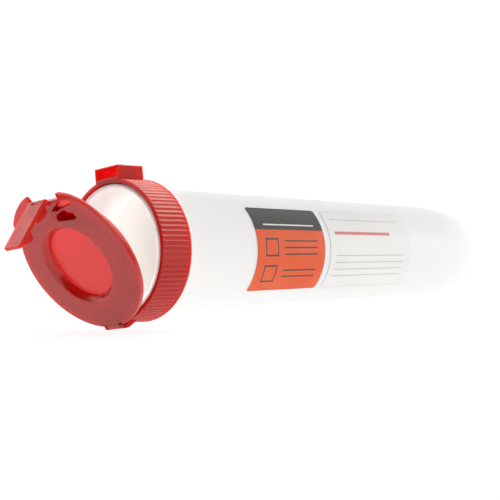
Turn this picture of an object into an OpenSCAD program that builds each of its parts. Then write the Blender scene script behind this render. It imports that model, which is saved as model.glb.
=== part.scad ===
// Pocket sharps tube: a tapered bullet-nosed tube, a ribbed snap-on collar,
// a hinged plug lid and a fold-over locking strap.
// Millimetres. +X runs from the mouth to the nose, +Z is up, and the origin is
// the centre of the mouth, in the plane of the collar's front edge.

/* [Tube] */
// Outer radius of the straight holder land behind the collar
tube_r0 = 17.6; // [17.2:0.05:17.6]
// Outer radius where the nose begins
tube_r1 = 15.9; // [15.2:0.05:16.4]
// Distance from the mouth to the start of the nose
tube_taper_end = 144; // [130:1:160]
// Wall thickness of the tube
tube_wall = 1.4; // [1.1:0.1:1.7]
// Radius of the long arc that blends the tube into the nose
nose_arc_r = 90; // [70:1:100]
// Half angle of the conical part of the nose
nose_angle = 17.5; // [15:0.5:20]
// Radius of the rounded tip
tip_r = 3; // [2.4:0.1:3.6]

/* [Neck] */
// Outer radius of the snap bead round the mouth
rim_r = 18.5; // [18.3:0.05:18.6]
// Outer radius of the neck that the collar turns on
neck_r = 17.95; // [17.8:0.05:17.95]
// Inner radius of the mouth
mouth_r = 17.4; // [17.3:0.05:17.4]
// Outer radius of the stop ring behind the collar
stop_r = 18.5; // [18.2:0.1:19]

/* [Collar] */
// Outer radius of the collar's front edge
collar_r = 20; // [19.9:0.05:20.1]
// Length of the collar
collar_len = 10.9; // [10.5:0.1:10.9]
// Inner radius of the collar's front lip
lip_r = 18.8; // [18.75:0.05:19]
// Number of grip ribs round the collar
rib_count = 88; // [72:1:110]
// Height of a grip rib
rib_h = 0.2; // [0.15:0.05:0.5]

/* [Keeper] */
// Width of the keeper box on top of the collar
keeper_w = 9.8; // [9.4:0.1:10]
// Length of the keeper box along the tube
keeper_len = 9.5; // [8:0.1:9.6]
// Height of the keeper's roof above the tube's axis
keeper_top = 23.5; // [23.2:0.1:23.5]
// Thickness of the keeper's walls
keeper_wall = 0.5; // [0.4:0.1:0.8]

/* [Lid] */
// Radius of the lid's flange
lid_r = 20.3; // [20:0.05:20.35]
// Sideways offset of the flange from the plug's axis
face_dy = 0.3; // [0:0.05:0.4]
// Downward offset of the flange from the plug's axis
face_dz = 0.25; // [0:0.05:0.3]
// Radius of the far finger ear beside the notch
ear_r = 22.9; // [21.6:0.1:23]
// Radius of the near finger ear, which runs smoothly into the flange
near_ear_r = 21.45; // [20.9:0.05:21.7]
// Thickness of the finger ears
ear_t = 1.3; // [1.1:0.05:1.5]
// Thickness of the flange
lid_t = 1.9; // [1.7:0.05:2]
// Outer radius of the plug that enters the mouth
plug_r = 17; // [16.8:0.05:17]
// How far the plug stands behind the flange
plug_len = 2.6; // [2:0.1:2.6]
// Radius of the round well at the lid's face
well_r = 12.05; // [11.6:0.05:12.1]
// Radius of the well's floor
well_floor_r = 10.45; // [10.2:0.05:10.8]
// Depth of the well
well_depth = 2.25; // [1.8:0.05:2.6]
// Thickness of the well's floor
well_floor = 0.6; // [0.4:0.1:0.8]
// How far the well's middle is below the plug's axis
well_drop = 0.45; // [0:0.05:0.6]
// How far the well's middle is towards the far side
well_dy = 1.1; // [0.8:0.1:1.2]
// Width of the notch that the strap folds through
notch_w = 11.2; // [10.8:0.1:11.6]
// How far the notch's middle is towards the far side
notch_dy = 0.8; // [0.6:0.1:1]
// Depth of the pocket beside the strap
pocket_depth = 3.4; // [2.4:0.1:3.4]
// Depth of the slanted recess above the pocket
recess_depth = 1.5; // [0.8:0.05:1.65]

/* [Hinge] */
// Distance of the lid's hinge below the tube's axis
hinge_r = 20.65; // [20.6:0.05:20.8]
// Distance of the lid's hinge in front of the collar
hinge_fwd = 1; // [0.95:0.05:1.05]
// Outer radius of the hinge knuckle
knuckle_r = 1.1; // [1:0.05:1.1]
// Radius of the hinge trunnions moulded on the lid
trunnion_r = 0.55; // [0.45:0.05:0.55]
// Half width of the lid's knuckle
knuckle_hw = 2.6; // [2.4:0.1:3]

/* [Strap] */
// Width of the locking strap
strap_w = 6.6; // [6:0.1:7]
// Length of the locking strap, from its pivot to its free end
strap_len = 15.2; // [14.8:0.1:15.6]
// Thickness of the strap's plate
strap_t = 1.05; // [0.9:0.05:1.2]
// Height of the strap's pivot above the middle of the lid
strap_l = 20; // [19.8:0.05:20.1]
// Distance of the strap's pivot in front of the lid's face
strap_n = 2.4; // [2.4:0.05:2.6]
// Radius of the strap's trunnions
strap_pin_r = 0.4; // [0.35:0.05:0.45]

/* [Labels] */
// Distance from the mouth to the near edge of the front label
label_x0 = 41; // [38:1:44]
// Length of the front label along the tube
label_len = 32; // [28:1:33]
// Distance from the mouth to the near edge of the write-on label
info_x0 = 76; // [75:1:80]
// Length of the write-on label along the tube
info_len = 44; // [40:1:46]
// Thickness of the label film
label_t = 0.12; // [0.08:0.01:0.2]

/* [Pose] */
// Turn of the collar on the tube
cap_roll = 7; // [0:0.1:10]
// Opening angle of the lid, from closed
lid_open = 30.9; // [0:0.1:120]
// Angle of the strap, from straight out of the lid's face
strap_angle = -22; // [-85:1:100]

/* [Hidden] */
$fn = 96;

// Positions of the two hinges while the lid is shut
hinge_x = -hinge_fwd;
hinge_z = -hinge_r;
face_x = -0.2 - lid_t;
strap_px = face_x - strap_n;
strap_pz = strap_l;
strap_knuckle = 1.2;

// Lengths along the tube
bead_len = 3.1;
bore_r = neck_r + 0.08;
stop_x = 11.1;
land_x0 = 12.7;
land_x1 = 25.2;
taper_deg = atan((tube_r0 - tube_r1) / (tube_taper_end - land_x1));

// Outer radius of the tapered part at a distance x from the mouth
function taper_r(x) = tube_r0 - (x - land_x1) * tan(taper_deg);

// Nose: a long arc, a cone and a small sphere, each tangent to the next.
// Each point is [radius, x], set back along its normal by the depth g.
nose_x1 = tube_taper_end + nose_arc_r * (sin(nose_angle) - sin(taper_deg));
nose_r1 = tube_r1 - nose_arc_r * (cos(taper_deg) - cos(nose_angle));
tip_x = nose_x1 + nose_r1 / tan(nose_angle) - tip_r / sin(nose_angle);
function nose_pts(g) = concat(
  [for (i = [0:16]) let (b = taper_deg + (nose_angle - taper_deg) * i / 16)
    [tube_r1 - nose_arc_r * (cos(taper_deg) - cos(b)) - g * cos(b),
     tube_taper_end + nose_arc_r * (sin(b) - sin(taper_deg)) - g * sin(b)]],
  [for (i = [0:9]) let (b = nose_angle + (90 - nose_angle) * i / 10)
    [(tip_r - g) * cos(b), tip_x + (tip_r - g) * sin(b)]],
  [[0, tip_x + tip_r - g]]);

// Turns a [radius, x] profile about the tube's axis
module turned(pts) { rotate([0, 90, 0]) rotate_extrude() polygon(pts); }

// Part of such a turned shell, between two angles up from the near side
module turned_part(pts, a0, a1) {
  rotate([0, 90, 0]) rotate([0, 0, 270 - a1]) rotate_extrude(angle = a1 - a0) polygon(pts);
}

// Extrudes a side view drawn in X and Z, from y0 to y1
module side_view(y0, y1) {
  translate([0, y1, 0]) rotate([90, 0, 0]) linear_extrude(height = y1 - y0) children();
}

// The same side view on both sides of the middle plane
module both_sides(y0, y1) {
  side_view(y0, y1) children();
  side_view(-y1, -y0) children();
}

// A straight pin along Y at a point of the side view
module cross_pin(x, z, r, y0, y1) {
  translate([x, y0, z]) rotate([-90, 0, 0]) cylinder(r = r, h = y1 - y0);
}

// Poses: the collar's turn, the lid's opening and the strap's swing
module rolled() { rotate([-cap_roll, 0, 0]) children(); }
module opened() {
  translate([hinge_x, 0, hinge_z]) rotate([0, -lid_open, 0]) translate([-hinge_x, 0, -hinge_z]) children();
}
module strap_swung() { translate([strap_px, 0, strap_pz]) rotate([0, strap_angle, 0]) children(); }

// Tube: snap bead, neck, stop ring, straight land, taper and nose, all hollow
module tube_body() {
  outer = nose_pts(0);
  inner = nose_pts(tube_wall);
  ni = len(inner);
  color([0.96, 0.96, 0.95])
  turned(concat(
    [[mouth_r + 0.4, 0], [rim_r - 0.35, 0], [rim_r, 0.35], [rim_r, bead_len - 0.3], [rim_r - 0.3, bead_len],
     [neck_r, bead_len], [neck_r, stop_x], [stop_r - 0.2, stop_x], [stop_r, stop_x + 0.2],
     [stop_r, stop_x + 0.9], [tube_r0, land_x0], [tube_r0, land_x1]],
    outer,
    [for (i = [ni - 1:-1:0]) inner[i]],
    [[tube_r0 - tube_wall, land_x1], [tube_r0 - tube_wall, 13], [mouth_r, 7], [mouth_r, 0.4]]));
}

// Collar: lip, bore and snap step inside, bands and grip ribs outside,
// the keeper tunnel on top and the two hinge lugs below
module rib_ring(x0, x1) {
  p = 360 / rib_count;
  rv = collar_r - rib_h * 0.6;
  rc = collar_r + rib_h * 0.4;
  translate([x0, 0, 0]) rotate([0, 90, 0]) linear_extrude(height = x1 - x0) difference() {
    polygon([for (i = [0:rib_count - 1]) each [
      for (k = [[0, rv], [0.22, rv], [0.38, rc], [0.72, rc], [0.88, rv]])
        [k[1] * cos((i + k[0]) * p), k[1] * sin((i + k[0]) * p)]]]);
    circle(r = lip_r + 0.3);
  }
}

module collar_ring() {
  color([0.85, 0.1, 0.1])
  rolled() difference() {
    union() {
      turned([[lip_r, 0.2], [lip_r + 0.2, 0], [collar_r - 0.35, 0], [collar_r - 0.05, 0.3], [collar_r - 0.05, 0.5],
        [collar_r - 0.45, 0.5], [collar_r - 0.45, collar_len - 0.7], [collar_r + 0.2, collar_len - 0.7],
        [collar_r + 0.2, collar_len - 0.3], [collar_r - 0.1, collar_len],
        [bore_r + 0.2, collar_len], [bore_r, collar_len - 0.2], [bore_r, bead_len + 0.25], [lip_r, bead_len + 0.25]]);
      rib_ring(0.4, collar_len - 0.6);
      // keeper box
      rotate([90, 0, 90]) linear_extrude(height = keeper_len)
        polygon([[-keeper_w / 2, 19.35], [keeper_w / 2, 19.35], [keeper_w / 2, keeper_top - 0.35],
          [keeper_w / 2 - 0.35, keeper_top], [0.35 - keeper_w / 2, keeper_top], [-keeper_w / 2, keeper_top - 0.35]]);
      // hinge lugs
      both_sides(knuckle_hw + 0.15, knuckle_hw + 1.15) union() {
        translate([hinge_x, hinge_z]) circle(r = knuckle_r);
        polygon([[hinge_x, hinge_z - knuckle_r], [0.6, hinge_z - knuckle_r + 0.25], [3.2, -20], [3.2, -19],
          [0.25, -19], [0.25, hinge_z], [hinge_x, hinge_z]]);
      }
    }
    // tunnel right through the keeper
    translate([-1, keeper_wall - keeper_w / 2, 20.3])
      cube([keeper_len + 2, keeper_w - 2 * keeper_wall, keeper_top - keeper_wall - 20.3]);
    // bearings of the hinge trunnions
    cross_pin(hinge_x, hinge_z, trunnion_r + 0.05, -knuckle_hw - 3, knuckle_hw + 3);
  }
}

// Lid: flange with ears and notch, plug, well, hinge knuckle and strap knuckle.
// Face views are drawn with -X up the lid and +Y to its far side.
module face_view(x0, x1) {
  translate([x0, 0, 0]) rotate([0, 90, 0]) linear_extrude(height = x1 - x0) children();
}

// The far ear ends in a step at 51 degrees from the top
module far_ear() {
  intersection() {
    translate([face_dz, face_dy]) circle(r = ear_r);
    polygon([[0, 0], [-40 * cos(14), 40 * sin(14)], [-40 * cos(32), 40 * sin(32)], [-40 * cos(51), 40 * sin(51)]]);
  }
}

// The near ear is a smaller circle set towards 20 degrees from the top
module near_ear() {
  d = near_ear_r - 16;
  intersection() {
    translate([-d * cos(20), -d * sin(20)]) circle(r = 16);
    translate([-30, -30]) square([30, 30]);
  }
}

// Pocket and slanted recess on the near side of the strap, as [distance from the middle, height]
module lid_pocket() {
  face_view(face_x - 1, face_x + pocket_depth)
    polygon([for (q = [[0.75, 13.3], [1.6, 12.9], [7.4, 12.7], [8.35, 13.2], [7.65, 14.5], [5.9, 15.25], [4.9, 15.8], [2.9, 15.35], [1, 14.65]])
      [-q[1], -q[0]]]);
  face_view(face_x - 1, face_x + recess_depth)
    polygon([for (q = [[0.5, 16.35], [3.1, 17.55], [4.7, 18.35], [8.8, 18.2], [8.6, 17.2], [6.7, 16.85], [5.3, 16.6], [2.4, 15.95]])
      [-q[1], -q[0]]]);
}

module lid() {
  color([0.85, 0.12, 0.11])
  rolled() opened() difference() {
    union() {
      face_view(face_x, face_x + lid_t) translate([face_dz, face_dy]) circle(r = lid_r);
      face_view(face_x, face_x + ear_t) union() {
        far_ear();
        near_ear();
      }
      // plug ring
      turned([[plug_r - 1.2, face_x + lid_t - 0.1], [plug_r, face_x + lid_t - 0.1], [plug_r, plug_len - 0.7],
        [plug_r - 0.5, plug_len - 0.2], [plug_r - 1.2, plug_len - 0.2]]);
      // cup of the well
      translate([0, well_dy, -well_drop])
        turned([[0, face_x + 0.4], [well_r + 0.9, face_x + 0.4], [well_floor_r + 0.7, face_x + well_depth + well_floor],
          [0, face_x + well_depth + well_floor]]);
      // backing of the pocket
      intersection() {
        translate([face_x + 0.5, -9.3, 11.2]) cube([pocket_depth + 0.3, 9.6, 5.5]);
        rotate([0, 90, 0]) cylinder(r = plug_r - 0.4, h = 12, center = true);
      }
      // hinge knuckle
      side_view(-knuckle_hw, knuckle_hw) union() {
        translate([hinge_x, hinge_z]) circle(r = knuckle_r);
        polygon([[hinge_x - knuckle_r, hinge_z], [face_x, -18.6], [face_x + lid_t, -18.6], [face_x + lid_t, hinge_z]]);
      }
      // knuckle that carries the strap, in the middle of its root
      side_view(-strap_knuckle, strap_knuckle) union() {
        translate([strap_px, strap_pz]) circle(r = 0.8);
        polygon([[face_x + 0.3, 17.9], [face_x + 0.3, 19.1], [strap_px, strap_pz + 0.8], [strap_px - 0.44, strap_pz - 0.67]]);
      }
    }
    // well, with a rounded wall that is steep at its floor
    translate([0, well_dy, -well_drop])
      turned(concat([[0, face_x + well_depth], [0, face_x - 1], [well_r, face_x - 1]],
        [for (b = [90:-10:0]) [well_r - (well_r - well_floor_r) * pow(cos(b), 1.5), face_x + well_depth * (1 - pow(sin(b), 1.5))]]));
    // pocket beside the strap
    lid_pocket();
    // notch that the strap folds through
    translate([face_x + 0.05, notch_dy - notch_w / 2, 19.15]) cube([lid_t + 1, notch_w, 8]);
    for (y = [notch_dy - notch_w / 2, strap_knuckle])
      translate([face_x - 0.5, y, 19.15]) cube([1, y > 0 ? notch_dy + notch_w / 2 - y : -strap_knuckle - y, 8]);
    // room for the collar's hinge lugs
    for (s = [-1, 1])
      cross_pin(hinge_x, hinge_z, knuckle_r + 0.35, s > 0 ? knuckle_hw : -knuckle_hw - 1.45, s > 0 ? knuckle_hw + 1.45 : -knuckle_hw);
  }
  // trunnions that turn in the collar's lugs, and those that carry the strap
  color([0.85, 0.12, 0.11])
  rolled() opened() union() {
    cross_pin(hinge_x, hinge_z, trunnion_r, -knuckle_hw - 1.1, knuckle_hw + 1.1);
    cross_pin(strap_px, strap_pz, strap_pin_r, -strap_knuckle - 1.1, strap_knuckle + 1.1);
  }
}

// Strap: forked root with two bearings, plate, heel and snap barb.
// Drawn along -X from its pivot, with its outer face up.
module latch_strap() {
  top = 0.8;
  bot = top - strap_t;
  hw = strap_w / 2;
  color([0.87, 0.16, 0.14])
  rolled() opened() strap_swung() difference() {
    union() {
      // root and heel
      side_view(-hw, hw) union() {
        circle(r = 0.8);
        polygon([[0, top], [0, bot], [-4, bot], [-4, top]]);
        polygon([[-0.6, bot + 0.2], [-1.8, -1.85], [-3.8, -1.9], [-6.5, -1], [-6.9, bot + 0.2]]);
      }
      // plate
      translate([0, 0, bot]) linear_extrude(height = strap_t)
        polygon([[-3.9, -hw], [-3.9, hw], [-strap_len + 0.5, hw], [-strap_len, hw - 0.5],
          [-strap_len, 0.5 - hw], [-strap_len + 0.5, -hw]]);
      // snap barb
      side_view(-hw, hw)
        polygon([[-9.7, bot + 0.2], [-10.6, -1.95], [-12, -1.95], [-14.6, bot + 0.2]]);
    }
    // room for the lid's knuckle in the root, and under it in the heel
    translate([-1, -strap_knuckle - 0.15, -4]) cube([4, 2 * strap_knuckle + 0.3, 8]);
    translate([-1.45, -strap_knuckle - 0.15, -4]) cube([4, 2 * strap_knuckle + 0.3, 4.2]);
    translate([-2.5, -strap_knuckle - 0.15, -4]) cube([4, 2 * strap_knuckle + 0.3, 4 + bot + 0.1]);
    // bearings of the lid's trunnions
    cross_pin(0, 0, strap_pin_r + 0.05, -strap_knuckle - 1.25, strap_knuckle + 1.25);
  }
}

// Labels: thin films on the near side of the taper
module film(x0, x1, a0, a1) {
  g = 0.01;
  turned_part([[taper_r(x0) + g, x0], [taper_r(x0) + g + label_t, x0], [taper_r(x1) + g + label_t, x1], [taper_r(x1) + g, x1]], a0, a1);
}
module front_label() { color([0.93, 0.38, 0.18]) film(label_x0, label_x0 + label_len, -43, 47); }
module info_label() { color([0.92, 0.92, 0.9]) film(info_x0, info_x0 + info_len, -43, 47); }

tube_body();
collar_ring();
lid();
latch_strap();
front_label();
info_label();
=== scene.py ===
import math
import bpy
import numpy as np
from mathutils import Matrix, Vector


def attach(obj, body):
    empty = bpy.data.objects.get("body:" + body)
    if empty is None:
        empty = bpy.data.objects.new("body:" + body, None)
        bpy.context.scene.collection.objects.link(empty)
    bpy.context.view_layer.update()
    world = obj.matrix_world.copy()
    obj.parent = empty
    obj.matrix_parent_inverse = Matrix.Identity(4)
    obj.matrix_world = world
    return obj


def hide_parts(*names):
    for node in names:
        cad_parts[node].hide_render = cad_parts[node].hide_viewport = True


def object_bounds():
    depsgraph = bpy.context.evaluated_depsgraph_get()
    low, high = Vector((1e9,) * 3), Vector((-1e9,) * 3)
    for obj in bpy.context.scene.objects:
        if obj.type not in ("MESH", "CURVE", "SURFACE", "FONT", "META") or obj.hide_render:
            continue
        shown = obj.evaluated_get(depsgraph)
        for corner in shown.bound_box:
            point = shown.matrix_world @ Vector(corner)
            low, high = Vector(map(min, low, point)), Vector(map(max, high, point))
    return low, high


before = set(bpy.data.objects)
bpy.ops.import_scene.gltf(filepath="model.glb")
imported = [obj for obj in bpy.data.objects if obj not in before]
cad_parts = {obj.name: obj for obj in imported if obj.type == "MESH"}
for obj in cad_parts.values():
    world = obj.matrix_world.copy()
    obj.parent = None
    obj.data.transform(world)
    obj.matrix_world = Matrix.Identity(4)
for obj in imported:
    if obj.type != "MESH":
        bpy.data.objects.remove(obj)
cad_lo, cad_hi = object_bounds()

sc = bpy.context.scene
MM = 0.001

# ---------------------------------------------------------------- camera
cam = bpy.data.objects.new("Camera", bpy.data.cameras.new("Camera"))
sc.collection.objects.link(cam)
cam.data.lens = 90.2
cam.data.sensor_width = 36
cam.data.clip_start = 0.01
cam.location = (-0.2326, -0.2599, 0.0002)
look = Vector((0.744, 0.668, 0.0)).normalized()
cam.rotation_euler = look.to_track_quat("-Z", "Y").to_euler()
sc.camera = cam

# ---------------------------------------------------------------- dimensions, mm
R0, R1, TAPER_END, WALL = 17.6, 15.9, 144.0, 1.4
ARC_R, NOSE_A, TIP_R = 90.0, math.radians(17.5), 3.0
LAND1 = 25.2
TAPER_A = math.atan((R0 - R1) / (TAPER_END - LAND1))
HX, HZ = -1.0, -20.65
FACE = -2.1
BACK = -0.2
PX, PZ = -4.5, 20.0
ROLL, OPEN, SWING = math.radians(7.0), math.radians(30.9), math.radians(22.0)


def taper_r(x):
    return R0 - (x - LAND1) * math.tan(TAPER_A)


# ---------------------------------------------------------------- poses of the mouldings
def rot_x(p, a):
    c, s = math.cos(a), math.sin(a)
    return np.stack([p[:, 0], c * p[:, 1] - s * p[:, 2], s * p[:, 1] + c * p[:, 2]], 1)


def rot_y(p, a):
    c, s = math.cos(a), math.sin(a)
    return np.stack([c * p[:, 0] + s * p[:, 2], p[:, 1], -s * p[:, 0] + c * p[:, 2]], 1)


def at_collar(p, n):
    return rot_x(p, -ROLL), rot_x(n, -ROLL)


def at_lid(p, n):
    h = np.array([HX, 0.0, HZ])
    return at_collar(rot_y(p - h, -OPEN) + h, rot_y(n, -OPEN))


def at_strap(p, n):
    return at_lid(rot_y(p, -SWING) + np.array([PX, 0.0, PZ]), rot_y(n, -SWING))


# ---------------------------------------------------------------- solids as distance fields
def smin(a, b, k):
    h = np.clip(0.5 + 0.5 * (b - a) / k, 0.0, 1.0)
    return b + (a - b) * h - k * h * (1.0 - h)


def smax(a, b, k):
    return -smin(-a, -b, k)


def box2(u, v, cu, cv, hu, hv, r=0.0):
    a = np.abs(u - cu) - (hu - r)
    b = np.abs(v - cv) - (hv - r)
    return np.hypot(np.maximum(a, 0), np.maximum(b, 0)) + np.minimum(np.maximum(a, b), 0) - r


def poly2(u, v, pts):
    """Signed distance to a closed polygon."""
    d = np.full(np.shape(u), 1e9)
    s = np.ones(np.shape(u))
    n = len(pts)
    for i in range(n):
        ax, ay = pts[i]
        bx, by = pts[i - 1]
        ex, ey = bx - ax, by - ay
        wx, wy = u - ax, v - ay
        t = np.clip((wx * ex + wy * ey) / (ex * ex + ey * ey), 0, 1)
        d = np.minimum(d, (wx - ex * t) ** 2 + (wy - ey * t) ** 2)
        c1, c2, c3 = v >= ay, v < by, ex * wy > ey * wx
        flip = (c1 & c2 & c3) | (~c1 & ~c2 & ~c3)
        s = np.where(flip, -s, s)
    return s * np.sqrt(d)


def extrude(d2, w, cw, hw, r=0.0):
    """A flat shape, thickened from cw - hw to cw + hw with edges rounded by r."""
    a = d2 + r
    b = np.abs(w - cw) - hw + r
    return np.hypot(np.maximum(a, 0), np.maximum(b, 0)) + np.minimum(np.maximum(a, b), 0) - r


def turned_grid(q):
    """Grid of angle, radius and length to X, Y and Z."""
    return np.stack([q[..., 2], q[..., 1] * np.cos(q[..., 0]), q[..., 1] * np.sin(q[..., 0])], -1)


def nets(f, lo, hi, h, turns=0):
    """Quad mesh of the zero level of f, with its points moved onto the surface.
    With turns, the grid runs round X in that many steps, and closes on itself."""
    lo = np.array(lo, float)
    h = np.array(h, float) * np.ones(3)
    if turns:
        lo[0], h[0] = 0.0, 2 * math.pi / turns
    n = np.ceil((np.array(hi, float) - lo) / h).astype(int) + 1
    if turns:
        n[0] = turns + 1
    ax = [lo[i] + h[i] * np.arange(n[i]) for i in range(3)]
    G = np.stack(np.meshgrid(*ax, indexing="ij"), -1)
    if turns:
        G = turned_grid(G)
    V = f(G[..., 0], G[..., 1], G[..., 2])
    if turns:
        V[-1] = V[0]
    del G
    ins = V < 0
    cnt = np.zeros(n - 1, np.uint8)
    for a in (0, 1):
        for b in (0, 1):
            for c in (0, 1):
                cnt += ins[a:n[0] - 1 + a, b:n[1] - 1 + b, c:n[2] - 1 + c]
    act = (cnt > 0) & (cnt < 8)
    ii = np.argwhere(act)
    idx = np.full(cnt.shape, -1, np.int64)
    idx[act] = np.arange(len(ii))
    P = np.zeros((len(ii), 3))
    W = np.zeros(len(ii))
    for axis in range(3):
        o1, o2 = [k for k in range(3) if k != axis]
        for b in (0, 1):
            for c in (0, 1):
                p0 = np.zeros(3, int)
                p0[o1], p0[o2] = b, c
                p1 = p0.copy()
                p1[axis] = 1
                q0, q1 = ii + p0, ii + p1
                v0 = V[q0[:, 0], q0[:, 1], q0[:, 2]]
                v1 = V[q1[:, 0], q1[:, 1], q1[:, 2]]
                m = (v0 < 0) != (v1 < 0)
                t = v0[m] / (v0[m] - v1[m])
                pt = q0[m].astype(float)
                pt[:, axis] += t
                P[m] += pt
                W[m] += 1
    P = lo + h * P / W[:, None]
    if turns:
        P = turned_grid(P)
    quads = []
    for axis in range(3):
        o1, o2 = [(1, 2), (2, 0), (0, 1)][axis]
        s0 = [slice(None)] * 3
        s1 = [slice(None)] * 3
        s0[axis], s1[axis] = slice(0, -1), slice(1, None)
        a, b = ins[tuple(s0)], ins[tuple(s1)]
        e = np.argwhere(a != b)
        if turns and axis:
            e = e[e[:, 0] < turns]
        out = a[e[:, 0], e[:, 1], e[:, 2]]
        c00, c10, c11, c01 = e.copy(), e.copy(), e.copy(), e.copy()
        c00[:, o1] -= 1; c00[:, o2] -= 1
        c10[:, o2] -= 1
        c01[:, o1] -= 1
        q = np.stack([idx[c[:, 0], c[:, 1], c[:, 2]] for c in (c00, c10, c11, c01)], 1)
        q[~out] = q[~out][:, ::-1]
        quads.append(q)
    Q = np.concatenate(quads)
    reach = 0.35 * h[1]
    for _ in range(4):
        g, v = grad(f, P)
        step = v[:, None] * g / np.maximum((g * g).sum(1), 0.05)[:, None]
        ln = np.linalg.norm(step, axis=1)
        step *= np.minimum(1.0, reach / np.maximum(ln, 1e-9))[:, None]
        P = P - step
    g, _ = grad(f, P)
    v = P[Q]
    fn = np.cross(v[:, 2] - v[:, 0], v[:, 3] - v[:, 1])
    if (fn * g[Q[:, 0]]).sum() < 0:
        Q = Q[:, ::-1]
    N = g / np.maximum(np.linalg.norm(g, axis=1), 1e-9)[:, None]
    return P, N, Q


def grad(f, P, e=0.02):
    x, y, z = P[:, 0], P[:, 1], P[:, 2]
    g = np.stack([f(x + e, y, z) - f(x - e, y, z), f(x, y + e, z) - f(x, y - e, z),
                  f(x, y, z + e) - f(x, y, z - e)], 1) / (2 * e)
    return g, f(x, y, z)


# ---------------------------------------------------------------- meshes
def make(name, P, N, faces, uv=None):
    me = bpy.data.meshes.new(name)
    me.vertices.add(len(P))
    me.vertices.foreach_set("co", (P * MM).astype(np.float32).ravel())
    F = np.asarray(faces)
    me.loops.add(F.size)
    me.loops.foreach_set("vertex_index", F.astype(np.int32).ravel())
    me.polygons.add(len(F))
    me.polygons.foreach_set("loop_start", (np.arange(len(F)) * F.shape[1]).astype(np.int32))
    me.polygons.foreach_set("use_smooth", np.ones(len(F), bool))
    if uv is not None:
        lay = me.uv_layers.new(name="print")
        lay.data.foreach_set("uv", uv[F.ravel()].astype(np.float32).ravel())
    me.update(calc_edges=True)
    me.validate()
    if N is not None:
        me.normals_split_custom_set_from_vertices(N.astype(np.float32))
    ob = bpy.data.objects.new(name, me)
    sc.collection.objects.link(ob)
    return ob


def fillet(pts, seg=6):
    """Profile [(r, x, fillet radius)...] closed, material on its left; gives points and normals."""
    out, nor = [], []
    n = len(pts)
    for i in range(n):
        p = np.array(pts[i][:2]); a = np.array(pts[i - 1][:2]); b = np.array(pts[(i + 1) % n][:2])
        rad = pts[i][2] if len(pts[i]) > 2 else 0.0
        d0 = (p - a) / np.linalg.norm(p - a)
        d1 = (b - p) / np.linalg.norm(b - p)
        n0, n1 = np.array([d0[1], -d0[0]]), np.array([d1[1], -d1[0]])
        turn = math.atan2(d0[0] * d1[1] - d0[1] * d1[0], float(d0 @ d1))
        if abs(turn) < 1e-4:
            out.append(p); nor.append(n0); continue
        if rad <= 0:
            m = n0 + n1
            out.append(p); nor.append(m / np.linalg.norm(m)); continue
        t = rad * math.tan(abs(turn) / 2)
        t = min(t, 0.48 * np.linalg.norm(p - a), 0.48 * np.linalg.norm(b - p))
        rad = t / math.tan(abs(turn) / 2)
        sgn = 1.0 if turn > 0 else -1.0
        c = p - d0 * t - sgn * n0 * rad
        for k in range(seg + 1):
            w = turn * k / seg
            cw, sw = math.cos(w), math.sin(w)
            nn = np.array([cw * n0[0] - sw * n0[1], sw * n0[0] + cw * n0[1]])
            out.append(c + sgn * nn * rad)
            nor.append(nn)
    return np.array(out), np.array(nor)


def revolve(name, prof, nrm, steps):
    """Closed turned solid about X; profile points on the axis become poles."""
    th = np.arange(steps) * 2 * math.pi / steps
    c, s = np.cos(th), np.sin(th)
    m = len(prof)
    P = np.zeros((m, steps, 3)); N = np.zeros((m, steps, 3))
    P[:, :, 0] = prof[:, 1:2]; P[:, :, 1] = prof[:, 0:1] * c; P[:, :, 2] = prof[:, 0:1] * s
    N[:, :, 0] = nrm[:, 1:2]; N[:, :, 1] = nrm[:, 0:1] * c; N[:, :, 2] = nrm[:, 0:1] * s
    i = np.arange(m)[:, None]
    j = np.arange(steps)[None, :]
    i1, j1 = (i + 1) % m, (j + 1) % steps
    F = np.stack([i * steps + j, i * steps + j1, i1 * steps + j1, i1 * steps + j], 2).reshape(-1, 4)
    return P.reshape(-1, 3), N.reshape(-1, 3), F


# ---------------------------------------------------------------- tube
def nose(g, na=26, ns=12):
    nx = TAPER_END + ARC_R * (math.sin(NOSE_A) - math.sin(TAPER_A))
    nr = R1 - ARC_R * (math.cos(TAPER_A) - math.cos(NOSE_A))
    tip = nx + nr / math.tan(NOSE_A) - TIP_R / math.sin(NOSE_A)
    pts, nor = [], []
    for k in range(na + 1):
        b = TAPER_A + (NOSE_A - TAPER_A) * k / na
        pts.append((R1 - ARC_R * (math.cos(TAPER_A) - math.cos(b)) - g * math.cos(b),
                    TAPER_END + ARC_R * (math.sin(b) - math.sin(TAPER_A)) - g * math.sin(b)))
        nor.append((math.cos(b), math.sin(b)))
    x1, r1 = pts[-1][1], pts[-1][0]
    tr, tx = (TIP_R - g) * math.cos(NOSE_A), tip + (TIP_R - g) * math.sin(NOSE_A)
    for k in range(1, 16):
        w = k / 16
        pts.append((r1 + (tr - r1) * w, x1 + (tx - x1) * w)); nor.append(nor[na])
    for k in range(ns + 1):
        b = NOSE_A + (math.pi / 2 - NOSE_A) * k / ns
        r = (TIP_R - g) * math.cos(b)
        pts.append((max(r, 0.004), tip + (TIP_R - g) * math.sin(b))); nor.append((math.cos(b), math.sin(b)))
    return pts, nor


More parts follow.
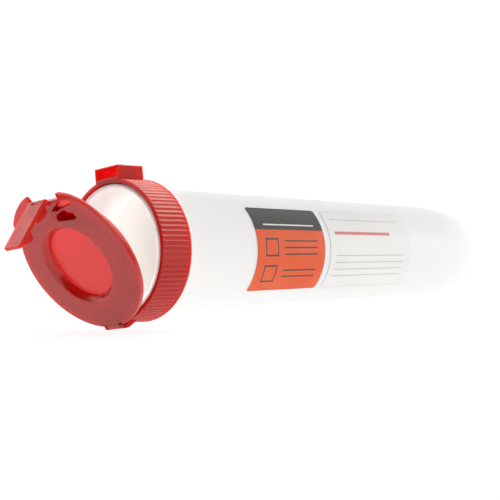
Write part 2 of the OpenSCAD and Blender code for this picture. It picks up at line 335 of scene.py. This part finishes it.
def build_tube():
    head = [(17.8, 0.0, 0.25), (18.15, 0.0, 0.15), (18.5, 0.35, 0.3), (18.5, 2.8, 0.2), (18.2, 3.1, 0.15),
            (17.95, 3.1, 0.1), (17.95, 11.1, 0.1), (18.3, 11.1, 0.1), (18.5, 11.3, 0.2), (18.5, 12.0, 0.3),
            (R0, 12.7, 0.5), (R0, 16.0), (R0, 20.0), (R0, LAND1, 60.0)]
    for k in range(1, 24):
        x = LAND1 + (TAPER_END - LAND1) * k / 24
        head.append((taper_r(x), x))
    op, on = nose(0.0)
    ip, inn = nose(WALL)
    tail = []
    for k in range(23, 0, -1):
        x = LAND1 + (TAPER_END - LAND1) * k / 24
        tail.append((taper_r(x) - WALL, x))
    tail += [(R0 - WALL, LAND1), (R0 - WALL, 13.0, 6.0), (17.4, 7.0, 6.0), (17.4, 0.4, 0.25)]
    seq = head + [p for p in op] + [p for p in ip[::-1]] + tail
    prof, nrm = fillet(seq, 7)
    k0 = int(np.argmin(np.abs(prof - np.array(op[0])).sum(1)))
    nrm[k0:k0 + len(op)] = np.array(on)
    nrm[k0 + len(op):k0 + len(op) + len(ip)] = -np.array(inn)[::-1]
    P, N, F = revolve("tube", prof, nrm, 224)
    return make("tube", P, N, F)


# ---------------------------------------------------------------- collar
RIBS = 88


def collar_f(x, y, z):
    r = np.hypot(y, z)
    th = np.arctan2(z, y)
    tooth = 0.5 + 0.5 * np.cos(RIBS * th)
    tooth = tooth * tooth * (3 - 2 * tooth)
    win = np.clip((x - 0.15) / 0.3, 0, 1) * np.clip((10.45 - x) / 0.3, 0, 1)
    win = win * win * (3 - 2 * win)
    rib = 19.88 + 0.2 * tooth
    front = 20.0
    rear = 20.18
    w1 = np.clip((x - 5.0) / 1.0, 0, 1)
    plain = front + (rear - front) * w1
    outer = (r - (plain + (rib - plain) * win)) * 0.86
    ends = np.abs(x - 5.45) - 5.45
    body = smax(outer, ends, 0.4)
    hole = np.minimum(r - 18.03, smax(r - 18.8, x - 3.35, 0.1))
    body = smax(body, -hole, 0.3)
    box = extrude(box2(y, z, 0.0, 21.425, 4.9, 2.075, 0.35), x, 4.75, 4.75, 0.22)
    body = smin(body, box, 0.35)
    body = np.maximum(body, -(r - 18.03))
    tun = box2(y, z, 0.0, 21.65, 4.4, 1.35, 0.2)
    body = smax(body, -tun, 0.16)
    ya = np.abs(y)
    lug = np.minimum(np.hypot(x - HX, z - HZ) - 1.1,
                     poly2(x, z, [(HX, HZ - 1.1), (0.6, HZ - 0.85), (3.2, -20.0), (3.2, -19.0), (0.25, -19.0),
                                  (0.25, HZ), (HX, HZ)]))
    body = smin(body, extrude(lug, ya, 3.25, 0.5, 0.14), 0.12)
    return np.maximum(body, 0.6 - np.hypot(x - HX, z - HZ) - 50 * np.maximum(0, np.abs(y) - 5) - 50 * np.maximum(0, z + 18))


# ---------------------------------------------------------------- lid
def lid_f(x, y, z):
    r = np.hypot(y, z)
    # outline: flange, far ear with a step, near ear that runs into the flange, notch
    yl, zl = y - 0.3, z + 0.25
    rl = np.maximum(np.hypot(yl, zl), 0.5)
    far = smax(rl - 22.88, (np.abs(np.arctan2(yl, zl)) - math.radians(52.5)) * rl, 2.2)
    near = np.hypot(y + 5.45 * math.sin(math.radians(20)), z - 5.45 * math.cos(math.radians(20))) - 16.0
    ear = np.where(z > 0, np.where(y > 0.8, far, near), 9.0)
    notch = smax(np.abs(y - 0.8) - 5.6, 19.15 - z, 0.3)
    plan = smax(smin(rl - 20.3, ear, 1.2), -notch, np.where(y > 0.8, 1.3, 0.5))
    d = extrude(plan, x, (FACE + BACK) / 2, (BACK - FACE) / 2, 0.3)
    # the ears are thinner than the flange
    d = smax(d, -np.maximum(20.35 - rl, -0.8 - x), 0.25)
    plug = box2(r, x, 16.4, 0.95, 0.6, 1.45, 0.32)
    d = smin(d, plug, 0.3)
    rw = np.hypot(y - 1.1, z + 0.45)
    cup = poly2(rw, x, [(-30, FACE + 0.4), (12.95, FACE + 0.4), (11.15, FACE + 2.85), (-30, FACE + 2.85)])
    d = smin(d, cup + 0.02, 0.3)
    back = np.maximum(extrude(box2(y, z, -4.5, 13.95, 4.8, 2.75, 0.5), x, FACE + 2.35, 1.85, 0.3), r - 16.5)
    d = smin(d, back, 0.25)
    # round dish with a rounded wall that is steep at its crisp floor
    curl = ((np.maximum(12.05 - rw, 0) / 1.6) ** (4 / 3) + (np.maximum(FACE + 2.25 - x, 0) / 2.25) ** (4 / 3)) ** 0.75
    d = smax(d, -smax((1 - curl) * 1.5, x - (FACE + 2.25), 0.06), 0.2)
    # deep pocket, and the slanted recess above it that leaves a thin skin
    pock = poly2(-y, z, [(0.75, 13.3), (1.6, 12.9), (7.4, 12.7), (8.35, 13.2), (7.65, 14.5), (5.9, 15.25), (4.9, 15.8),
                         (2.9, 15.35), (1.0, 14.65)])
    d = smax(d, -np.maximum(pock - 0.06 + 0.2 * np.maximum(x - FACE, 0), x - (FACE + 3.4)), 0.14)
    slant = poly2(-y, z, [(0.5, 16.35), (3.1, 17.55), (4.7, 18.35), (8.8, 18.2), (8.6, 17.2), (6.7, 16.85), (5.3, 16.6),
                          (2.4, 15.95)])
    d = smax(d, -np.maximum(slant - 0.04, x - (FACE + 1.5)), 0.14)
    knk = np.minimum(np.hypot(x - HX, z - HZ) - 1.1,
                     poly2(x, z, [(HX - 1.1, HZ), (FACE, -18.6), (BACK, -18.6), (BACK, HZ)]))
    d = smin(d, extrude(knk, y, 0.0, 2.6, 0.16), 0.3)
    relief = extrude(np.hypot(x - HX, z - HZ) - 1.44, np.abs(y), 3.325, 0.725, 0.0)
    d = np.maximum(d, -relief)
    # knuckle in the middle of the strap's root
    arm = np.minimum(np.hypot(x - PX, z - PZ) - 0.8,
                     poly2(x, z, [(FACE + 0.3, 17.9), (FACE + 0.3, 19.1), (PX, PZ + 0.79), (PX - 0.44, PZ - 0.66)]))
    d = smin(d, extrude(arm, y, 0.0, 1.2, 0.12), 0.12)
    pin = extrude(np.hypot(x - HX, z - HZ) - 0.55, y, 0.0, 3.7, 0.1)
    pin2 = extrude(np.hypot(x - PX, z - PZ) - 0.40, y, 0.0, 2.3, 0.08)
    return np.minimum(d, np.minimum(pin, pin2))


# ---------------------------------------------------------------- strap
def strap_f(x, y, z):
    ya = np.abs(y)
    top, bot = 0.8, -0.25
    plan = smax(ya - 3.3, np.abs(x + 7.6) - 7.6, 0.7)
    d = extrude(plan, z, (top + bot) / 2, (top - bot) / 2, 0.18)
    d = smin(d, extrude(np.hypot(x, z) - 0.8, y, 0.0, 3.3, 0.15), 0.25)
    heel = poly2(x, z, [(-0.6, bot + 0.3), (-1.8, -1.85), (-3.8, -1.9), (-6.5, -1.0), (-6.9, bot + 0.3)])
    d = smin(d, extrude(heel, y, 0.0, 3.3, 0.14), 0.2)
    barb = poly2(x, z, [(-9.7, bot + 0.3), (-10.6, -1.95), (-12.0, -1.95), (-14.6, bot + 0.3)])
    d = smin(d, extrude(barb, y, 0.0, 3.3, 0.14), 0.2)
    # room for the lid's knuckle, in the root and in the heel
    d = smax(d, -np.maximum(ya - 1.35, -1.0 - x), 0.06)
    d = smax(d, -np.maximum(np.maximum(ya - 1.35, -1.45 - x), z - 0.2), 0.06)
    d = smax(d, -np.maximum(np.maximum(ya - 1.35, -2.5 - x), z - (bot + 0.1)), 0.06)
    return np.maximum(d, -np.maximum(np.hypot(x, z) - 0.45, ya - 2.45))


def build_sdf(name, f, lo, hi, h, place, turns=0):
    P, N, Q = nets(f, lo, hi, h, turns)
    P, N = place(P, N)
    return make(name, P, N, Q)


# ---------------------------------------------------------------- labels
def build_film(name, x0, x1, a0, a1, rc):
    """Thin film on the taper, with rounded corners and a print map in mm."""
    g0, t = 0.012, 0.115
    rmid = taper_r((x0 + x1) / 2)
    hh = math.radians(a1 - a0) / 2 * rmid
    mid = math.radians((a0 + a1) / 2)
    ln = x1 - x0
    fr = [0.0, 0.03, 0.1, 0.22, 0.4, 0.62, 0.82, 1.0]
    d = [rc * f for f in fr] + [rc + (ln - 2 * rc) * k / 16 for k in range(1, 16)] + [ln - rc * f for f in fr[::-1]]
    cols = np.linspace(-1, 1, 49)
    pts, uv = [], []
    for s in d:
        e = min(s, ln - s)
        w = hh - rc + math.sqrt(max(rc * rc - (rc - min(e, rc)) ** 2, 0.0))
        for c in cols:
            pts.append((x0 + s, c * w))
            uv.append((s, c * w + hh))
    pts, uv = np.array(pts), np.array(uv)
    nr, nc = len(d), len(cols)

    def place(lift):
        a = mid + pts[:, 1] / rmid
        r = np.array([taper_r(x) for x in pts[:, 0]]) + lift
        return np.stack([pts[:, 0], -r * np.cos(a), r * np.sin(a)], 1)

    a = mid + pts[:, 1] / rmid
    n = np.stack([np.full(len(a), math.sin(TAPER_A)), -np.cos(a) * math.cos(TAPER_A), np.sin(a) * math.cos(TAPER_A)], 1)
    P = np.concatenate([place(g0 + t), place(g0)])
    N = np.concatenate([n, -n])
    U = np.concatenate([uv, uv])
    F = []
    k = nr * nc
    for i in range(nr - 1):
        for j in range(nc - 1):
            p, q = i * nc + j, (i + 1) * nc + j
            F.append((p, q, q + 1, p + 1))
            F.append((k + p, k + p + 1, k + q + 1, k + q))
    ring = [j for j in range(nc)] + [i * nc + nc - 1 for i in range(1, nr)] + \
           [(nr - 1) * nc + j for j in range(nc - 2, -1, -1)] + [i * nc for i in range(nr - 2, 0, -1)]
    for m in range(len(ring)):
        p, q = ring[m], ring[(m + 1) % len(ring)]
        F.append((p, q, k + q, k + p)[::-1])
    F = np.array(F)
    # outward side follows the normals
    v = P[F]
    fn = np.cross(v[:, 1] - v[:, 0], v[:, 2] - v[:, 0])
    flip = (fn * N[F[:, 0]]).sum(1) < 0
    flat = np.arange(len(F)) < 2 * (nr - 1) * (nc - 1)
    F[flip & flat] = F[flip & flat][:, ::-1]
    return make(name, P, None, F, U)


# ---------------------------------------------------------------- materials
class Mat:
    def __init__(self, name):
        self.m = bpy.data.materials.new(name)
        self.m.use_nodes = True
        self.t = self.m.node_tree
        self.b = self.t.nodes["Principled BSDF"]

    def n(self, kind, **kw):
        nd = self.t.nodes.new(kind)
        for k, v in kw.items():
            setattr(nd, k, v)
        return nd

    def link(self, a, b):
        self.t.links.new(a, b)

    def put(self, sock, v):
        if hasattr(v, "is_output"):
            self.link(v, sock)
        else:
            sock.default_value = v

    def math(self, op, a, b=0.0, c=0.0, clamp=False):
        nd = self.n("ShaderNodeMath", operation=op, use_clamp=clamp)
        for s, v in zip(nd.inputs, (a, b, c)):
            self.put(s, v)
        return nd.outputs[0]

    def noise(self, vec, scale, detail=2.0, rough=0.5):
        nd = self.n("ShaderNodeTexNoise")
        self.link(vec, nd.inputs["Vector"])
        nd.inputs["Scale"].default_value = scale
        nd.inputs["Detail"].default_value = detail
        nd.inputs["Roughness"].default_value = rough
        return nd.outputs["Fac"]

    def mix(self, fac, a, b):
        nd = self.n("ShaderNodeMix", data_type="RGBA")
        self.put(nd.inputs[0], fac)
        self.put(nd.inputs[6], a)
        self.put(nd.inputs[7], b)
        return nd.outputs[2]

    def remap(self, v, a, b, c, d):
        nd = self.n("ShaderNodeMapRange")
        self.put(nd.inputs[0], v)
        for s, k in zip((1, 2, 3, 4), (a, b, c, d)):
            nd.inputs[s].default_value = k
        return nd.outputs[0]

    def bump(self, h, strength, dist):
        nd = self.n("ShaderNodeBump")
        nd.inputs["Strength"].default_value = strength
        nd.inputs["Distance"].default_value = dist
        self.link(h, nd.inputs["Height"])
        self.link(nd.outputs[0], self.b.inputs["Normal"])


def lin(r, g, b):
    f = lambda c: c / 12.92 if c <= 0.04045 else ((c + 0.055) / 1.055) ** 2.4
    return (f(r / 255), f(g / 255), f(b / 255), 1.0)


def white_pp():
    m = Mat("white_pp")
    co = m.n("ShaderNodeTexCoord").outputs["Object"]
    big = m.noise(co, 22.0, 3.0)
    fine = m.noise(co, 900.0, 2.0)
    col = m.mix(m.remap(big, 0.3, 0.7, 0.0, 1.0), lin(244, 244, 242), lin(247, 247, 245))
    m.link(col, m.b.inputs["Base Color"])
    m.link(m.remap(m.noise(co, 120.0, 3.0), 0.3, 0.7, 0.30, 0.40), m.b.inputs["Roughness"])
    m.b.inputs["IOR"].default_value = 1.49
    m.b.inputs["Subsurface Weight"].default_value = 1.0
    m.b.inputs["Subsurface Radius"].default_value = (1.0, 0.97, 0.94)
    m.b.inputs["Subsurface Scale"].default_value = 0.0015
    m.bump(fine, 0.05, 0.0002)
    return m.m


def red_pp(name, base, deep, scale, rough, ior):
    m = Mat(name)
    co = m.n("ShaderNodeTexCoord").outputs["Object"]
    big = m.noise(co, 60.0, 3.0)
    col = m.mix(m.remap(big, 0.3, 0.7, 0.0, 1.0), deep, base)
    m.link(col, m.b.inputs["Base Color"])
    m.link(m.remap(m.noise(co, 260.0, 3.0), 0.3, 0.7, rough - 0.05, rough + 0.05), m.b.inputs["Roughness"])
    m.b.inputs["IOR"].default_value = ior
    m.b.inputs["Subsurface Weight"].default_value = 1.0
    m.b.inputs["Subsurface Radius"].default_value = (1.0, 0.09, 0.07)
    m.b.inputs["Subsurface Scale"].default_value = scale
    m.bump(m.noise(co, 1500.0, 2.0), 0.02, 0.0001)
    return m.m


def stripe(m, c, lo, hi, soft=0.06):
    """1 inside lo..hi along one print coordinate, in mm."""
    a = m.remap(c, lo - soft, lo + soft, 0.0, 1.0)
    b = m.remap(c, hi - soft, hi + soft, 1.0, 0.0)
    return m.math("MULTIPLY", a, b)


def rect(m, u, v, u0, u1, v0, v1, soft=0.06):
    return m.math("MULTIPLY", stripe(m, u, u0, u1, soft), stripe(m, v, v0, v1, soft))


def any_of(m, masks):
    s = masks[0]
    for k in masks[1:]:
        s = m.math("MAXIMUM", s, k)
    return s


def label_base(name):
    m = Mat(name)
    tc = m.n("ShaderNodeTexCoord")
    sep = m.n("ShaderNodeSeparateXYZ")
    m.link(tc.outputs["UV"], sep.inputs[0])
    return m, tc.outputs["Object"], sep.outputs[0], sep.outputs[1]


def orange_film():
    m, co, u, v = label_base("orange_film")
    grain = m.noise(co, 3000.0, 2.0)
    tone = m.noise(co, 90.0, 2.0)
    orange = m.mix(m.remap(tone, 0.3, 0.7, 0.0, 1.0), lin(233, 88, 38), lin(238, 97, 46))
    char = m.mix(m.remap(grain, 0.3, 0.7, 0.0, 1.0), lin(68, 64, 60), lin(77, 73, 69))
    col = m.mix(stripe(m, v, 19.2, 99.0, 0.05), orange, char)
    white = any_of(m, [rect(m, u, v, 4.2, 28.0, 20.6, 21.05)])
    col = m.mix(white, col, lin(240, 236, 232))
    dark = []
    for v0, v1 in ((11.2, 16.6), (3.2, 8.6)):
        o = rect(m, u, v, 3.6, 9.6, v0, v1)
        i = rect(m, u, v, 4.1, 9.1, v0 + 0.5, v1 - 0.5)
        dark.append(m.math("SUBTRACT", o, i, clamp=True))
    for vv in (15.6, 13.6, 11.6, 6.7, 4.7):
        dark.append(rect(m, u, v, 12.4, 28.2, vv, vv + 0.45))
    col = m.mix(any_of(m, dark), col, char)
    m.link(col, m.b.inputs["Base Color"])
    m.link(m.remap(grain, 0.3, 0.7, 0.34, 0.46), m.b.inputs["Roughness"])
    m.b.inputs["IOR"].default_value = 1.4
    m.bump(grain, 0.06, 0.00005)
    return m.m


def white_film():
    m, co, u, v = label_base("white_film")
    grain = m.noise(co, 3000.0, 2.0)
    tone = m.noise(co, 60.0, 2.0)
    col = m.mix(m.remap(tone, 0.3, 0.7, 0.0, 1.0), lin(241, 240, 237), lin(245, 244, 241))
    grey = []
    for vv in (22.6, 10.8, 8.6, 6.4, 4.2):
        grey.append(rect(m, u, v, 3.0, 40.0, vv, vv + 0.26))
    col = m.mix(any_of(m, grey), col, lin(196, 194, 190))
    red = rect(m, u, v, 3.0, 33.0, 17.5, 18.5)
    col = m.mix(red, col, lin(222, 130, 126))
    m.link(col, m.b.inputs["Base Color"])
    m.link(m.remap(grain, 0.3, 0.7, 0.36, 0.48), m.b.inputs["Roughness"])
    m.b.inputs["IOR"].default_value = 1.4
    m.bump(grain, 0.06, 0.00005)
    return m.m


# ---------------------------------------------------------------- put together
RED, DEEP = lin(196, 29, 10), lin(189, 25, 8)
tube = build_tube()
collar = build_sdf("collar", collar_f, (0, 17.6, -2.5), (0, 24.2, 11.4), (1, 0.16, 0.24), at_collar, RIBS * 10)
lid = build_sdf("lid_moulding", lid_f, (-5.9, -23.2, -22.2), (2.9, 23.2, 23.2), 0.22, at_lid)
strap = build_sdf("strap", strap_f, (-15.6, -3.9, -2.4), (1.2, 3.9, 1.2), 0.13, at_strap)
front = build_film("label_front", 41.0, 73.0, -43.0, 47.0, 0.8)
info = build_film("label_info", 76.0, 120.0, -43.0, 47.0, 0.8)

# the lid's copy of the red has a darker base colour than the collar's: painted shade standing in for the weaker light
# on the lid's face; its roughness and IOR differ too
mats = {"white_pp": white_pp(), "red_pp": red_pp("red_pp", RED, DEEP, 0.0065, 0.38, 1.45),
        "red_lid_shaded": red_pp("red_pp_lid_shaded", lin(176, 24, 11), lin(170, 21, 9), 0.006, 0.24, 1.6),
        "orange_film": orange_film(), "white_film": white_film()}
for ob, body, node, slot in ((tube, "tube", "tube_body", "white_pp"), (collar, "collar", "collar_ring", "red_pp"),
                             (lid, "lid", "lid", "red_pp"), (strap, "strap", "latch_strap", "red_pp"),
                             (front, "tube", "front_label", "orange_film"), (info, "tube", "info_label", "white_film")):
    # the lid takes the darker copy of the red, whose base colour carries painted shade
    ob.data.materials.append(mats["red_lid_shaded" if ob is lid else slot])
    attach(ob, body)
    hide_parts(node)

# ---------------------------------------------------------------- floor and light
bpy.ops.mesh.primitive_plane_add(size=30, location=(0.1, 0, cad_lo[2] - 0.0002))
floor = bpy.context.object
floor.name = "floor"
fm = Mat("floor")
fb = fm.n("ShaderNodeTexCoord").outputs["Object"]
fm.link(fm.mix(fm.noise(fb, 40.0, 2.0), (0.19, 0.19, 0.19, 1), (0.21, 0.21, 0.21, 1)), fm.b.inputs["Base Color"])
fm.b.inputs["Roughness"].default_value = 0.8
fm.b.inputs["Specular IOR Level"].default_value = 0.1
fm.b.inputs["Emission Color"].default_value = (1, 1, 1, 1)
fm.b.inputs["Emission Strength"].default_value = 0.86
floor.data.materials.append(fm.m)

w = bpy.data.worlds.new("studio")
sc.world = w
w.use_nodes = True
wt = w.node_tree
bg = wt.nodes["Background"]
bg.inputs[0].default_value = (1, 1, 1, 1)
bg.inputs[1].default_value = 1.0
bg2 = wt.nodes.new("ShaderNodeBackground")
bg2.inputs[0].default_value = (1, 1, 1, 1)
bg2.inputs[1].default_value = 1.1
lp = wt.nodes.new("ShaderNodeLightPath")
mx = wt.nodes.new("ShaderNodeMixShader")
wt.links.new(lp.outputs["Is Camera Ray"], mx.inputs[0])
tc = wt.nodes.new("ShaderNodeTexCoord")


def lobe(to, a, b, f0, f1):
    """Strength f0 away from a direction of the studio, f1 towards it."""
    dot = wt.nodes.new("ShaderNodeVectorMath")
    dot.operation = "DOT_PRODUCT"
    dot.inputs[1].default_value = Vector(to).normalized()
    wt.links.new(tc.outputs["Generated"], dot.inputs[0])
    mr = wt.nodes.new("ShaderNodeMapRange")
    mr.interpolation_type = "SMOOTHSTEP"
    for k, v in zip((1, 2, 3, 4), (a, b, f0, f1)):
        mr.inputs[k].default_value = v
    wt.links.new(dot.outputs["Value"], mr.inputs[0])
    return mr.outputs[0]


# white all round, dark beside and behind the camera, weaker overhead
level = lobe((-0.9, -0.3, 0.35), 0.52, 0.74, 1.33, 0.03)
for to, a, b, f in (((0.744, -0.668, 0.0), 0.80, 0.95, 0.1), ((0, 0, 1), 0.1, 0.9, 0.8)):
    mul = wt.nodes.new("ShaderNodeMath")
    mul.operation = "MULTIPLY"
    wt.links.new(level, mul.inputs[0])
    wt.links.new(lobe(to, a, b, 1.0, f), mul.inputs[1])
    level = mul.outputs[0]
wt.links.new(level, bg.inputs[1])
wt.links.new(bg.outputs[0], mx.inputs[1])
wt.links.new(bg2.outputs[0], mx.inputs[2])
wt.links.new(mx.outputs[0], wt.nodes["World Output"].inputs[0])


def group(name, obs):
    c = bpy.data.collections.new(name)
    for ob in obs:
        c.objects.link(ob)
    return c


def area(name, loc, target, size, power, lit=None, blocks=None):
    li = bpy.data.lights.new(name, "AREA")
    li.shape = "RECTANGLE"
    li.size, li.size_y = size
    li.energy = power
    li.color = (1.0, 0.94, 0.82) if lit is reds else (1.0, 1.0, 1.0)
    ob = bpy.data.objects.new(name, li)
    sc.collection.objects.link(ob)
    ob.location = loc
    ob.rotation_euler = (Vector(target) - Vector(loc)).to_track_quat("-Z", "Y").to_euler()
    ob.visible_camera = False
    if lit:
        ob.light_linking.receiver_collection = group(name + "_lit", lit)
    if blocks:
        ob.light_linking.blocker_collection = group(name + "_blocks", blocks)
    return ob


# two soft boxes for the red mouldings, a fill for the tube and one for the inside of the mouth
reds = [collar, lid, strap]
area("back_box", (-0.1, 0.27, 0.28), (0.0, 0, 0.0), (0.3, 0.3), 0.25, reds)
area("side_box", (0.35, 0.0, 0.32), (0.0, 0, 0.0), (0.42, 0.4), 1.7, reds)
area("tube_fill", (0.3, -0.15, 0.05), (0.165, 0, 0.0), (0.12, 0.12), 0.1, [tube, front, info])
area("mouth_fill", (-0.004, -0.003, -0.004), (0.05, -0.003, -0.004), (0.02, 0.02), 0.005, [tube], [tube])
sc.view_settings.view_transform = "Standard"
sc.cycles.max_bounces = 24
sc.cycles.diffuse_bounces = 16

bpy.context.view_layer.update()
